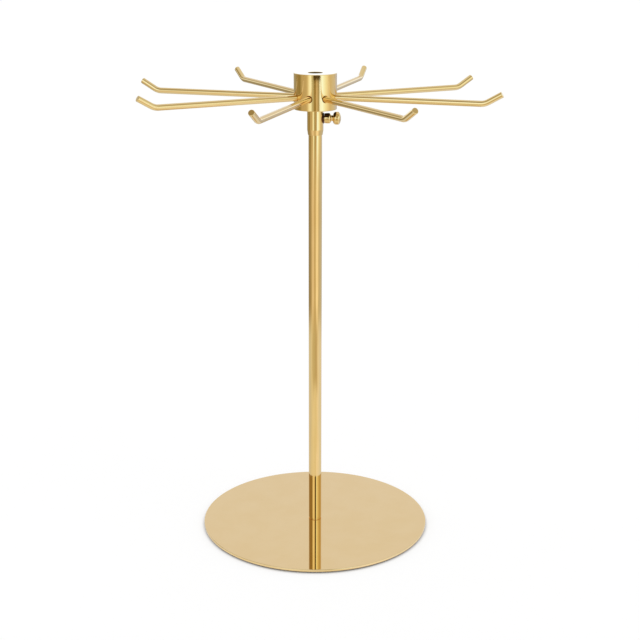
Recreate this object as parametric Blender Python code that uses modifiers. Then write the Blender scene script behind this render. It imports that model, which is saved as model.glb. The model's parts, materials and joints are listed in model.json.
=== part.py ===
"""Rotating display rack: a telescopic table-top post that carries a turning hub with eight hooks.

Metres, +Z up. The origin lies on the post's axis, on the surface that the rack stands on.
+X points to the thumb screw. The head turns about Z, the mast slides along Z, and the
thumb screw turns about X.
"""

from math import acos, cos, degrees, pi, radians, sin

import bmesh
import bpy
from mathutils import Matrix

# ---------------------------------------------------------------- driving dimensions

MM = 0.001
GAP = 0.3 * MM                      # clearance between pieces that touch

BASE_RADIUS = 113 * MM
BASE_THICKNESS = 2.5 * MM
PAD_HEIGHT = 1.0 * MM
PAD_RADIUS = 10 * MM
PAD_CIRCLE_RADIUS = 92 * MM
PAD_COUNT = 4

POST_RADIUS = 6.35 * MM             # half-inch tube
TUBE_WALL = 1.0 * MM
POST_TOP = 406.5 * MM

MAST_RADIUS = 5.0 * MM
MAST_LENGTH = 330 * MM

HUB_RADIUS = 20 * MM
HUB_HEIGHT = 33.4 * MM
HUB_BOTTOM = 420.4 * MM
HUB_TOP_HOLE_RADIUS = 7 * MM
HUB_EDGE = 0.5 * MM                 # chamfer on the hub's outer rims
HUB_RELIEF_OUTER = 18.2 * MM        # a ring-shaped relief in the hub's underside
HUB_RELIEF_INNER = 11.5 * MM
HUB_RELIEF_DEPTH = 5 * MM

COLLAR_RADIUS = 7.6 * MM
COLLAR_BOTTOM = 396.4 * MM
COLLAR_TAPER = 4.9 * MM

CLAMP_HEIGHT = 411.8 * MM           # thumb screw axis above the table
CLAMP_PAD_LENGTH = 1.0 * MM
INSERT_RADIUS = 3.5 * MM
INSERT_FLANGE_RADIUS = 4.9 * MM
INSERT_FACE = 8.2 * MM              # outer face of the insert's flange, from the post's axis

KNOB_END = 23.9 * MM                # outer end of the thumb screw, from the post's axis
KNOB_LIP_RADIUS = 6.0 * MM
KNOB_NECK_RADIUS = 2.7 * MM
KNOB_BEAD_RADIUS = 4.85 * MM

SCREW_RADIUS = 2.2 * MM             # M5 core, inside a 5 mm hole
SCREW_HOLE_RADIUS = SCREW_RADIUS + GAP

BEARING_BORE_RADIUS = 4 * MM        # 8 x 16 x 5 ball bearing
BEARING_RADIUS = 8 * MM
BEARING_WIDTH = 5 * MM
BALL_RADIUS = 1.05 * MM
BALL_PITCH_RADIUS = 6 * MM
BALL_COUNT = 9
INNER_RING_RADIUS = 5 * MM
OUTER_RING_BORE_RADIUS = 7 * MM

HOOK_COUNT = 8
HOOK_RADIUS = 2.78 * MM              # 7/32 inch rod
HOOK_HEIGHT = 431.5 * MM            # axis of the straight arms above the table
HOOK_FIRST_AZIMUTH = radians(-17.2)
HOOK_ROOT = 9.6 * MM                # inner end, measured from the hub's axis
HOOK_BEND = 158.3 * MM              # where the arm's axis turns up
HOOK_TIP_LENGTH = 18 * MM
HOOK_TIP_RISE = radians(30)
HOOK_BEND_RADIUS = 14 * MM

# ---------------------------------------------------------------- levels that follow

BASE_BOTTOM = PAD_HEIGHT + GAP
BASE_TOP = BASE_BOTTOM + BASE_THICKNESS
POST_BOTTOM = BASE_TOP + GAP
POST_BORE_RADIUS = POST_RADIUS - TUBE_WALL
MAST_BORE_RADIUS = MAST_RADIUS - TUBE_WALL
COLLAR_TOP = HUB_BOTTOM - GAP
HUB_TOP = HUB_BOTTOM + HUB_HEIGHT
HUB_BORE_RADIUS = BEARING_RADIUS + GAP
MAST_TOP = HUB_BOTTOM + 1.2 * MM
MAST_BOTTOM = MAST_TOP - MAST_LENGTH
JOURNAL_RADIUS = BEARING_BORE_RADIUS - GAP
FLANGE_BOTTOM = MAST_TOP + GAP
FLANGE_TOP = FLANGE_BOTTOM + 1.5 * MM
LOWER_BEARING = FLANGE_TOP + GAP
LOWER_BEARING_TOP = LOWER_BEARING + BEARING_WIDTH
WASHER_HEIGHT = 1.0 * MM
SCREW_HEAD_HEIGHT = 5.0 * MM
HEAD_RECESS = 1.4 * MM              # hub screw head below the hub's top face
HUB_SCREW_SEAT = HUB_TOP - HEAD_RECESS - SCREW_HEAD_HEIGHT
WASHER_BOTTOM = HUB_SCREW_SEAT - GAP - WASHER_HEIGHT
UPPER_BEARING_TOP = WASHER_BOTTOM - GAP
UPPER_BEARING = UPPER_BEARING_TOP - BEARING_WIDTH
RING_THICKNESS = 1.1 * MM
RING_TOP = LOWER_BEARING - GAP
RING_BOTTOM = RING_TOP - RING_THICKNESS

PLATE_STEPS = 80                    # steps round each size of turned piece
FINE = 56
POST_STEPS = 48
MEDIUM = 36
COARSE = 24

# ---------------------------------------------------------------- scene and materials


def clear_scene():
    for item in list(bpy.data.objects):
        bpy.data.objects.remove(item, do_unlink=True)


def new_collection(name, hidden=False):
    collection = bpy.data.collections.new(name)
    collection.hide_render = hidden
    bpy.context.scene.collection.children.link(collection)
    return collection


def finish_material(name, colour, metallic, roughness):
    material = bpy.data.materials.new(name)
    material.use_nodes = True
    shader = material.node_tree.nodes["Principled BSDF"]
    shader.inputs["Base Color"].default_value = (*colour, 1.0)
    shader.inputs["Metallic"].default_value = metallic
    shader.inputs["Roughness"].default_value = roughness
    return material


def gold(name):
    return finish_material(name, (0.79, 0.57, 0.27), 1.0, 0.12)


def bearing_steel(name):
    return finish_material(name, (0.62, 0.62, 0.63), 1.0, 0.2)


def black_oxide(name):
    return finish_material(name, (0.04, 0.03, 0.025), 0.8, 0.45)


def nylon(name):
    return finish_material(name, (0.83, 0.81, 0.74), 0.0, 0.5)


def zinc(name):
    return finish_material(name, (0.55, 0.56, 0.58), 1.0, 0.35)


def rubber(name):
    return finish_material(name, (0.03, 0.03, 0.032), 0.0, 0.85)


def place(name, data, material, collection=None):
    item = bpy.data.objects.new(name, data)
    (collection or PARTS).objects.link(item)
    if material and not data.materials:
        data.materials.append(material)
    return item


def shade_round(mesh, angle=35):
    mesh.shade_smooth()
    mesh.set_sharp_from_angle(angle=radians(angle))


# ---------------------------------------------------------------- shape helpers


def arc(centre_r, centre_z, radius, start, end, count):
    """Points (r, z) round a centre, from the start angle to the end angle in degrees."""
    points = []
    for step in range(count + 1):
        angle = radians(start + (end - start) * step / count)
        points.append((centre_r + radius * cos(angle), centre_z + radius * sin(angle)))
    return points


def ring_profile(outer, inner, top, bottom, edge=0.0):
    """A rectangle, outer side first and running down, with chamfers on its outer rims."""
    if not edge:
        return [(outer, top), (outer, bottom), (inner, bottom), (inner, top)]
    return [
        (outer - edge, top), (outer, top - edge), (outer, bottom + edge), (outer - edge, bottom),
        (inner, bottom), (inner, top),
    ]


def turned(name, profile, material, steps=MEDIUM, closed=True, collection=None, lift=0.0):
    """A turned piece: the profile of (r, z) points swept once round Z by a Screw modifier.

    A closed profile makes a ring. An open one starts and ends on the axis.
    """
    mesh = bpy.data.meshes.new(name)
    points = [(r, 0.0, z) for r, z in profile]
    edges = [(i, i + 1) for i in range(len(points) - 1)]
    if closed:
        edges.append((len(points) - 1, 0))
    mesh.from_pydata(points, edges, [])
    item = place(name, mesh, material, collection)
    item.location.z = lift
    screw = item.modifiers.new("Turn", "SCREW")
    screw.axis = "Z"
    screw.angle = 2 * pi
    screw.steps = steps
    screw.render_steps = steps
    screw.use_merge_vertices = True
    screw.merge_threshold = 0.00001
    screw.use_smooth_shade = False
    return item


def apply_modifiers(item):
    """Bakes an object's modifiers into its own mesh."""
    graph = bpy.context.evaluated_depsgraph_get()
    mesh = bpy.data.meshes.new_from_object(item.evaluated_get(graph))
    old = item.data
    item.modifiers.clear()
    item.data = mesh
    mesh.name = item.name
    bpy.data.meshes.remove(old)
    return item


def cut(item, cutter, operation="DIFFERENCE"):
    boolean = item.modifiers.new("Cut by " + cutter.name, "BOOLEAN")
    boolean.operation = operation
    boolean.object = cutter
    boolean.solver = "EXACT"


def cutter_object(name, shape):
    """Stores a bmesh as a hidden cutter."""
    mesh = bpy.data.meshes.new(name)
    shape.to_mesh(mesh)
    shape.free()
    item = place(name, mesh, None, CUTTERS)
    item.hide_render = True
    item.display_type = "WIRE"
    return item


def add_cylinder(shape, radius, length, matrix, sides):
    bmesh.ops.create_cone(
        shape, cap_ends=True, segments=sides, radius1=radius, radius2=radius,
        depth=length, matrix=matrix,
    )


def hex_socket(name, across_flats, depth, top):
    """A cutter for a socket that is sunk from a top face."""
    over = 1 * MM
    shape = bmesh.new()
    middle = Matrix.Translation((0, 0, top + (over - depth) / 2))
    add_cylinder(shape, across_flats / (2 * cos(pi / 6)), depth + over, middle, 6)
    return cutter_object(name, shape)


# ---------------------------------------------------------------- the base


def base_plate():
    """A thin disc with rolled edges and a countersunk hole for the screw from below."""
    edge = 0.6 * MM
    hole = SCREW_HOLE_RADIUS
    straight = 0.25 * MM
    sink = BASE_THICKNESS - straight
    profile = arc(BASE_RADIUS - edge, BASE_TOP - edge, edge, 90, 0, 1)
    profile += arc(BASE_RADIUS - edge, BASE_BOTTOM + edge, edge, 0, -90, 1)
    profile += [(hole + sink, BASE_BOTTOM), (hole, BASE_TOP - straight), (hole, BASE_TOP)]
    plate = turned("base_plate", profile, gold("mirror gold plate"), PLATE_STEPS)
    shade_round(apply_modifiers(plate).data)


def foot_pads():
    for index in range(PAD_COUNT):
        azimuth = 2 * pi * (index + 0.5) / PAD_COUNT
        profile = [(0, PAD_HEIGHT), (PAD_RADIUS, PAD_HEIGHT), (PAD_RADIUS, 0), (0, 0)]
        pad = turned(
            f"foot_pad_{index + 1}", profile, rubber("foam rubber"), COARSE, closed=False,
        )
        pad.location.x = PAD_CIRCLE_RADIUS * cos(azimuth)
        pad.location.y = PAD_CIRCLE_RADIUS * sin(azimuth)


def base_screw():
    """A countersunk machine screw up through the plate into the foot plug."""
    length = 13 * MM
    shift = GAP * 2 ** 0.5
    straight = 0.25 * MM
    edge = 0.6 * MM
    tip = BASE_BOTTOM + length
    seat = BASE_TOP - straight + GAP - shift
    head = SCREW_RADIUS + seat - BASE_BOTTOM
    profile = [
        (0, tip), (SCREW_RADIUS - edge, tip), (SCREW_RADIUS, tip - edge), (SCREW_RADIUS, seat),
        (head, BASE_BOTTOM), (0, BASE_BOTTOM),
    ]
    screw = turned("base_screw", profile, zinc("zinc screw"), COARSE, closed=False)
    socket = hex_socket("base_screw_socket", 3 * MM, 1.6 * MM, 0)
    socket.rotation_euler.x = pi
    socket.location.z = BASE_BOTTOM
    apply_modifiers(screw)
    cut(screw, socket)


def foot_plug():
    """A tapped plug, pressed into the foot of the post."""
    height = 14 * MM
    outer = POST_BORE_RADIUS - GAP
    profile = ring_profile(outer, SCREW_HOLE_RADIUS, POST_BOTTOM + height, POST_BOTTOM, 0.4 * MM)
    turned("foot_plug", profile, zinc("steel plug"), COARSE)


# ---------------------------------------------------------------- post and clamp


def post_tube():
    profile = ring_profile(POST_RADIUS, POST_BORE_RADIUS, POST_TOP, POST_BOTTOM)
    tube = turned("post_tube", profile, gold("mirror gold post"), POST_STEPS)
    shade_round(apply_modifiers(tube).data)


def clamp_collar():
    """The sleeve on top of the post: it fits over the post below and guides the mast above."""
    guide = MAST_RADIUS + GAP
    socket = POST_RADIUS + GAP
    shoulder = POST_TOP + GAP
    edge = 0.4 * MM
    lip = 0.25 * MM
    profile = [
        (COLLAR_RADIUS - edge, COLLAR_TOP), (COLLAR_RADIUS, COLLAR_TOP - edge),
        (COLLAR_RADIUS, COLLAR_BOTTOM + COLLAR_TAPER), (socket + lip, COLLAR_BOTTOM),
        (socket, COLLAR_BOTTOM), (socket, shoulder), (guide, shoulder), (guide, COLLAR_TOP),
    ]
    collar = turned("clamp_collar", profile, gold("mirror gold collar"), POST_STEPS)
    shape = bmesh.new()
    length = 10 * MM
    middle = Matrix.Translation((length / 2, 0, CLAMP_HEIGHT)) @ Matrix.Rotation(pi / 2, 4, "Y")
    add_cylinder(shape, INSERT_RADIUS + GAP, length, middle, COARSE)
    apply_modifiers(collar)
    cut(collar, cutter_object("collar_side_hole", shape))
    shade_round(collar.data)


def along_x(item):
    """Lays a turned piece down, so that its own +Z becomes +X on the clamp's axis."""
    item.rotation_euler.y = pi / 2
    item.location = (0, 0, CLAMP_HEIGHT)
    return item


def thread_insert():
    """A dark tapped insert through the collar's wall, with a flange that hugs the collar."""
    flange_back = 5.0 * MM          # behind the collar's surface, where the round cut ends it
    sleeve_end = 5.6 * MM
    edge = 0.2 * MM
    flange = [
        (INSERT_FLANGE_RADIUS - edge, INSERT_FACE), (INSERT_FLANGE_RADIUS, INSERT_FACE - edge),
        (INSERT_FLANGE_RADIUS, flange_back), (SCREW_HOLE_RADIUS, flange_back),
        (SCREW_HOLE_RADIUS, INSERT_FACE),
    ]
    insert = along_x(turned("thread_insert", flange, black_oxide("dark insert"), COARSE))
    apply_modifiers(insert)
    shape = bmesh.new()
    length = 3 * INSERT_FLANGE_RADIUS
    middle = Matrix.Translation((0, 0, CLAMP_HEIGHT))
    add_cylinder(shape, COLLAR_RADIUS + GAP, length, middle, POST_STEPS)
    cut(insert, cutter_object("collar_round", shape))
    outline = ring_profile(INSERT_RADIUS, SCREW_HOLE_RADIUS, INSERT_FACE - MM, sleeve_end)
    sleeve = along_x(turned("insert_sleeve", outline, None, COARSE, collection=CUTTERS))
    sleeve.hide_render = True
    sleeve.display_type = "WIRE"
    cut(insert, apply_modifiers(sleeve), "UNION")


def clamp_pad():
    """A small nylon shoe that the screw's tip presses on the mast."""
    start = MAST_RADIUS + GAP
    end = start + CLAMP_PAD_LENGTH
    profile = [(0, end), (SCREW_RADIUS, end), (SCREW_RADIUS, start), (0, start)]
    along_x(turned("clamp_pad", profile, nylon("clamp nylon"), COARSE, closed=False))


def thumb_screw():
    """A turned knob with a barrel, a neck and a domed button, on a threaded shank."""
    tip = MAST_RADIUS + GAP + CLAMP_PAD_LENGTH + GAP
    seat = INSERT_FACE + GAP
    dome = 11.0 * MM
    lip = 2.15 * MM
    back = 3.0 * MM
    shoulder = 1.9 * MM
    edge = 0.4 * MM
    end = KNOB_END
    neck = KNOB_NECK_RADIUS
    bead = KNOB_BEAD_RADIUS
    profile = [(0, end)] + arc(0, end - dome, dome, 80, 68, 2)
    profile += arc(KNOB_LIP_RADIUS - lip, end - 3.1 * MM, lip, 54, 0, 3)
    profile += arc(KNOB_LIP_RADIUS - back, end - 4.4 * MM, back, 0, -80, 4)
    profile += [(neck, end - 7.9 * MM), (neck, end - 8.6 * MM)]
    profile += arc(bead - shoulder, end - 11.3 * MM, shoulder, 75, 0, 3)
    profile += [
        (bead, end - 13.0 * MM), (bead - edge, seat), (SCREW_RADIUS, seat),
        (SCREW_RADIUS, tip + edge), (SCREW_RADIUS - edge, tip), (0, tip),
    ]
    knob = along_x(
        turned("thumb_screw", profile, gold("mirror gold knob"), COARSE, closed=False)
    )
    shade_round(apply_modifiers(knob).data, 50)


# ---------------------------------------------------------------- the mast


def inner_tube():
    profile = ring_profile(MAST_RADIUS, MAST_BORE_RADIUS, MAST_TOP, MAST_BOTTOM)
    tube = turned("inner_tube", profile, gold("mirror gold mast"))
    shade_round(apply_modifiers(tube).data)


def guide_plug():
    """A nylon plug in the mast's lower end that runs in the post, with a hole for the air."""
    shoulder = MAST_BOTTOM - GAP
    bottom = shoulder - 4 * MM
    top = MAST_BOTTOM + 12 * MM
    spigot = MAST_BORE_RADIUS - GAP
    runner = POST_BORE_RADIUS - GAP
    air = 1.2 * MM
    edge = 0.5 * MM
    profile = [
        (spigot, top), (spigot, shoulder), (runner, shoulder), (runner, bottom + edge),
        (runner - edge, bottom), (air, bottom), (air, top),
    ]
    turned("guide_plug", profile, nylon("guide nylon"), COARSE)


def spindle():
    """The steel journal in the mast's upper end: spigot, flange and journal, tapped on top."""
    spigot = MAST_BORE_RADIUS - GAP
    below_ring = 0.1 * MM
    top = UPPER_BEARING_TOP - below_ring
    edge = 0.4 * MM
    bottom = MAST_TOP - 18 * MM
    tapping = top - 16 * MM
    profile = [
        (0, tapping), (SCREW_HOLE_RADIUS, tapping), (SCREW_HOLE_RADIUS, top),
        (JOURNAL_RADIUS - edge, top), (JOURNAL_RADIUS, top - edge), (JOURNAL_RADIUS, FLANGE_TOP),
        (MAST_RADIUS, FLANGE_TOP), (MAST_RADIUS, FLANGE_BOTTOM), (spigot, FLANGE_BOTTOM),
        (spigot, bottom + edge), (spigot - edge, bottom), (0, bottom),
    ]
    turned("spindle", profile, bearing_steel("spindle steel"), COARSE, closed=False)


def hub_washer():
    top = WASHER_BOTTOM + WASHER_HEIGHT
    profile = ring_profile(INNER_RING_RADIUS, SCREW_RADIUS + 2 * GAP, top, WASHER_BOTTOM, 0.15 * MM)
    turned("hub_washer", profile, zinc("zinc washer"), COARSE)


def hub_screw():
    """The cap screw that holds the bearing stack on the spindle, sunk in the hub's top."""
    head = 4.25 * MM
    top = HUB_SCREW_SEAT + SCREW_HEAD_HEIGHT
    edge = 0.5 * MM
    tip = UPPER_BEARING_TOP - 12 * MM
    profile = [
        (0, top), (head - edge, top), (head, top - edge), (head, HUB_SCREW_SEAT),
        (SCREW_RADIUS, HUB_SCREW_SEAT), (SCREW_RADIUS, tip + edge), (SCREW_RADIUS - edge, tip),
        (0, tip),
    ]
    screw = turned("hub_screw", profile, black_oxide("black oxide screw"), COARSE, closed=False)
    apply_modifiers(screw)
    cut(screw, hex_socket("hub_screw_socket", 4 * MM, 2.5 * MM, top))


# ---------------------------------------------------------------- bearings


def groove(land_radius, middle, inward):
    """The raceway's arc, from the top of the ring's face to the bottom, or back up outside."""
    radius = BALL_RADIUS + GAP
    reach = degrees(acos((land_radius - BALL_PITCH_RADIUS) / radius))
    start, end = (reach, 360 - reach) if inward else (-reach, reach)
    return arc(BALL_PITCH_RADIUS, middle, radius, start, end, 3)


def inner_ring(name, bottom):
    top = bottom + BEARING_WIDTH
    profile = [(INNER_RING_RADIUS, top)]
    profile += groove(INNER_RING_RADIUS, bottom + BEARING_WIDTH / 2, True)
    profile += [(INNER_RING_RADIUS, bottom), (BEARING_BORE_RADIUS, bottom)]
    profile += [(BEARING_BORE_RADIUS, top)]
    turned(name, profile, bearing_steel(name + " steel"), COARSE)


def outer_ring(name, bottom):
    top = bottom + BEARING_WIDTH
    profile = [(BEARING_RADIUS, top), (BEARING_RADIUS, bottom), (OUTER_RING_BORE_RADIUS, bottom)]
    profile += groove(OUTER_RING_BORE_RADIUS, bottom + BEARING_WIDTH / 2, False)
    profile += [(OUTER_RING_BORE_RADIUS, top)]
    turned(name, profile, bearing_steel(name + " steel"), COARSE)


def ball_cage(name, bottom):
    """The balls with the cage that spaces them, as one body."""
    middle = bottom + BEARING_WIDTH / 2
    half_width = 0.45 * MM
    half_height = 0.7 * MM
    profile = ring_profile(
        BALL_PITCH_RADIUS + half_width, BALL_PITCH_RADIUS - half_width, half_height, -half_height,
    )
    cage = turned(name, profile, bearing_steel(name + " steel"), 3 * BALL_COUNT, lift=middle)
    apply_modifiers(cage)
    shape = bmesh.new()
    for index in range(BALL_COUNT):
        azimuth = 2 * pi * index / BALL_COUNT
        centre = Matrix.Translation(
            (BALL_PITCH_RADIUS * cos(azimuth), BALL_PITCH_RADIUS * sin(azimuth), middle)
        )
        bmesh.ops.create_uvsphere(
            shape, u_segments=8, v_segments=6, radius=BALL_RADIUS, matrix=centre,
        )
    cut(cage, cutter_object(name + "_balls", shape), "UNION")


def spacers():
    """Two sleeves that keep the bearings apart: one between the inner rings, one outside."""
    top = UPPER_BEARING - GAP
    bottom = LOWER_BEARING_TOP + GAP
    inner = ring_profile(INNER_RING_RADIUS, BEARING_BORE_RADIUS, top, bottom)
    outer = ring_profile(BEARING_RADIUS, OUTER_RING_BORE_RADIUS + GAP, top, bottom)
    turned("inner_spacer", inner, zinc("inner spacer steel"), COARSE)
    turned("outer_spacer", outer, zinc("outer spacer steel"), COARSE)


def retaining_ring():
    """The snap ring under the lower bearing, open on one side."""
    outer = HUB_BORE_RADIUS + 0.5 * MM
    inner = OUTER_RING_BORE_RADIUS + 0.4 * MM
    profile = ring_profile(outer, inner, RING_TOP, RING_BOTTOM)
    ring = turned("retaining_ring", profile, black_oxide("spring steel"))
    apply_modifiers(ring)
    shape = bmesh.new()
    size = 6 * MM
    opening = Matrix.Translation((0, -outer, RING_BOTTOM)) @ Matrix.Diagonal((size, size, size, 1))
    bmesh.ops.create_cube(shape, size=1.0, matrix=opening)
    cut(ring, cutter_object("ring_opening", shape))


# ---------------------------------------------------------------- the head


def hub():
    """The turned head, bored from below for the bearings, with eight radial hook holes."""
    shoulder = UPPER_BEARING_TOP + GAP
    snap = HUB_BORE_RADIUS + 0.8 * MM
    lead = 0.3 * MM
    relief = HUB_BOTTOM + HUB_RELIEF_DEPTH
    profile = [
        (HUB_RADIUS - HUB_EDGE, HUB_TOP), (HUB_RADIUS, HUB_TOP - HUB_EDGE),
        (HUB_RADIUS, HUB_BOTTOM + HUB_EDGE), (HUB_RADIUS - HUB_EDGE, HUB_BOTTOM),
        (HUB_RELIEF_OUTER, HUB_BOTTOM), (HUB_RELIEF_OUTER, relief),
        (HUB_RELIEF_INNER, relief), (HUB_RELIEF_INNER, HUB_BOTTOM),
        (HUB_BORE_RADIUS, HUB_BOTTOM), (HUB_BORE_RADIUS, RING_BOTTOM - GAP),
        (snap, RING_BOTTOM - GAP), (snap, RING_TOP + GAP), (HUB_BORE_RADIUS, RING_TOP + GAP),
        (HUB_BORE_RADIUS, shoulder), (HUB_TOP_HOLE_RADIUS, shoulder),
        (HUB_TOP_HOLE_RADIUS, HUB_TOP - lead), (HUB_TOP_HOLE_RADIUS + lead, HUB_TOP),
    ]
    body = turned("hub", profile, gold("mirror gold hub"), FINE)
    apply_modifiers(body)
    shape = bmesh.new()
    start = HOOK_ROOT - GAP
    end = HUB_RADIUS + 2 * MM
    for index in range(HOOK_COUNT):
        turn = Matrix.Rotation(hook_azimuth(index), 4, "Z")
        reach = Matrix.Translation(((start + end) / 2, 0, HOOK_HEIGHT))
        matrix = turn @ reach @ Matrix.Rotation(pi / 2, 4, "Y")
        add_cylinder(shape, HOOK_RADIUS + GAP, end - start, matrix, 16)
    cut(body, cutter_object("hook_holes", shape))
    shade_round(body.data)


def hook_azimuth(index):
    return HOOK_FIRST_AZIMUTH + 2 * pi * index / HOOK_COUNT


def hook_route():
    """Points (r, z) along the hook's axis: straight arm, bend and rising tip."""
    tangent = HOOK_BEND_RADIUS * sin(HOOK_TIP_RISE / 2) / cos(HOOK_TIP_RISE / 2)
    bend = arc(
        HOOK_BEND - tangent, HOOK_HEIGHT + HOOK_BEND_RADIUS, HOOK_BEND_RADIUS,
        -90, -90 + HOOK_TIP_RISE * 180 / pi, 4,
    )
    tip = (
        HOOK_BEND + HOOK_TIP_LENGTH * cos(HOOK_TIP_RISE),
        HOOK_HEIGHT + HOOK_TIP_LENGTH * sin(HOOK_TIP_RISE),
    )
    return [(HOOK_ROOT, HOOK_HEIGHT)] + bend + [tip]


def hooks():
    """Eight bent rods. Each one's origin is on the hub's axis."""
    for index in range(HOOK_COUNT):
        curve = bpy.data.curves.new(f"hook_{index + 1}", "CURVE")
        curve.dimensions = "3D"
        curve.bevel_depth = HOOK_RADIUS
        curve.bevel_resolution = 2
        curve.use_fill_caps = True
        route = hook_route()
        spline = curve.splines.new("POLY")
        spline.points.add(len(route) - 1)
        for point, (r, z) in zip(spline.points, route):
            point.co = (r, 0.0, z, 1.0)
        hook = place(f"hook_{index + 1}", curve, gold(f"mirror gold hook {index + 1}"))
        hook.rotation_euler.z = hook_azimuth(index)


# ---------------------------------------------------------------- build

clear_scene()
PARTS = new_collection("rotating display rack")
CUTTERS = new_collection("cutters", hidden=True)

base_plate()
foot_pads()
base_screw()
foot_plug()
post_tube()
clamp_collar()
thread_insert()
clamp_pad()
thumb_screw()
inner_tube()
guide_plug()
spindle()
hub_washer()
hub_screw()
for level, start_height in (("lower", LOWER_BEARING), ("upper", UPPER_BEARING)):
    inner_ring(f"{level}_inner_ring", start_height)
    outer_ring(f"{level}_outer_ring", start_height)
    ball_cage(f"{level}_ball_cage", start_height)
spacers()
retaining_ring()
hub()
hooks()
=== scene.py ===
"""Looks of the rotating display rack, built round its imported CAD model. Metres, +Z up."""

import json
from math import asin, atan2, cos, pi, radians, sin, sqrt, tan

import bmesh
import bpy
from mathutils import Matrix, Vector


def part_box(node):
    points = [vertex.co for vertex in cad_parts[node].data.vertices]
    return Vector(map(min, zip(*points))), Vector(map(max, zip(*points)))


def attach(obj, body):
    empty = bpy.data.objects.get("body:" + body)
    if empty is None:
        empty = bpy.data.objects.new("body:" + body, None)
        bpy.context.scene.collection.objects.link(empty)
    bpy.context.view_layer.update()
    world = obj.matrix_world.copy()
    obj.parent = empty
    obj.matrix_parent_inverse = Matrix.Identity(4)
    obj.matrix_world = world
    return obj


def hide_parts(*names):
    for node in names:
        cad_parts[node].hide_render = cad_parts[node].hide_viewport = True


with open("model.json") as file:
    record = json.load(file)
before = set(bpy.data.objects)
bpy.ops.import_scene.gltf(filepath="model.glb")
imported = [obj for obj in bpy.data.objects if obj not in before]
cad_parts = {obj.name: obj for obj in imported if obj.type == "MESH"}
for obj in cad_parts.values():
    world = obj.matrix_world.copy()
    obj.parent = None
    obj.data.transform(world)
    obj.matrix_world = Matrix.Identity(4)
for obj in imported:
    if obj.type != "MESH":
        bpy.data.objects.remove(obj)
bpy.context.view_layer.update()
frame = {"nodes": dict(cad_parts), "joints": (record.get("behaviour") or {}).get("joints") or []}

MM = 0.001
GAP = 0.3 * MM                      # the clearance that the CAD leaves between pieces
HOLD = 0.05 * MM                    # support loops beside each rounded corner

# ---------------------------------------------------------------- what the frame gives


def levels(node):
    """The lowest and highest Z of a node."""
    low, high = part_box(node)
    return low.z, high.z


def reach(node):
    """Half the width of a node that is turned about the Z axis."""
    low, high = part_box(node)
    return (high.x - low.x) / 2


def joint(name):
    """The frame's row for a joint."""
    return next(item for item in frame["joints"] if item["name"] == name)


PLATE_BOTTOM, PLATE_TOP = levels("base_plate")
PLATE_RADIUS = reach("base_plate")
POST_RADIUS = reach("post_tube")
POST_TOP = levels("post_tube")[1]
COLLAR_BOTTOM, COLLAR_TOP = levels("clamp_collar")
COLLAR_RADIUS = reach("clamp_collar")
MAST_RADIUS = reach("inner_tube")
HUB_BOTTOM, HUB_TOP = levels("hub")
HUB_RADIUS = reach("hub")
CLAMP_HEIGHT = joint("thumb_turn")["pos_m"][2]
HOOK_HEIGHT = joint("hub_spin")["pos_m"][2]
HOOK_RADIUS = HOOK_HEIGHT - levels("hook_1")[0]
HOOK_AZIMUTHS = []
for number in range(1, 9):
    corners = frame["nodes"][f"hook_{number}"].data.vertices
    tip = max(corners, key=lambda vertex: vertex.co.x ** 2 + vertex.co.y ** 2).co
    HOOK_AZIMUTHS.append(atan2(tip.y, tip.x))

# ---------------------------------------------------------------- shapes


def rounded(points, closed=True, steps=5):
    """Turns (r, z, fillet) corners into a dense outline, with a support point beside each arc."""
    outline = []
    for index, corner in enumerate(points):
        here = Vector(corner[:2])
        fillet = corner[2] if len(corner) > 2 else 0.0
        if not fillet:
            outline.append(here)
            continue
        back = (Vector(points[index - 1][:2]) - here).normalized()
        ahead = (Vector(points[(index + 1) % len(points)][:2]) - here).normalized()
        half = back.angle(ahead) / 2
        centre = here + (back + ahead).normalized() * (fillet / sin(half))
        start = here + back * (fillet / tan(half))
        end = here + ahead * (fillet / tan(half))
        turn = (start - centre).angle_signed(end - centre)
        outline.append(start + back * HOLD)
        for step in range(steps + 1):
            angle = turn * step / steps
            outline.append(centre + Matrix.Rotation(-angle, 2) @ (start - centre))
        outline.append(end + ahead * HOLD)
    return outline


def arc(centre_r, centre_z, radius, start, end, count):
    """Points round a centre, from the start angle to the end angle in degrees."""
    angles = [radians(start + (end - start) * step / count) for step in range(count + 1)]
    return [(centre_r + radius * cos(a), centre_z + radius * sin(a)) for a in angles]


def even(outline, step):
    """Adds points so that no two along the outline are further apart than step."""
    dense = [Vector(outline[0])]
    for point in outline[1:]:
        start = dense[-1]
        span = Vector(point) - start
        count = max(1, int(span.length / step) + 1)
        dense += [start + span * (i + 1) / count for i in range(count)]
    return dense


def lathe(name, outline, segments=128, closed=True, thread=None):
    """A turned mesh about Z. thread is (low, high, pitch, depth) of a helix on the outline."""
    outline = [Vector(point[:2]) for point in outline]
    vertices, rings = [], []
    for r, z in outline:
        if r < 1e-7:
            rings.append([len(vertices)])
            vertices.append((0.0, 0.0, z))
            continue
        rings.append(list(range(len(vertices), len(vertices) + segments)))
        for step in range(segments):
            angle = 2 * pi * step / segments
            wide = r - helix(thread, z, angle) if thread else r
            vertices.append((wide * cos(angle), wide * sin(angle), z))
    pairs = list(zip(rings, rings[1:]))
    if closed:
        pairs.append((rings[-1], rings[0]))
    faces = []
    for upper, lower in pairs:
        for step in range(segments):
            after = (step + 1) % segments
            corners = [upper[step % len(upper)], lower[step % len(lower)],
                       lower[after % len(lower)], upper[after % len(upper)]]
            face = list(dict.fromkeys(corners))
            if len(face) > 2:
                faces.append(face)
    mesh = bpy.data.meshes.new(name)
    mesh.from_pydata(vertices, [], faces)
    return link(name, mesh)


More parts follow.
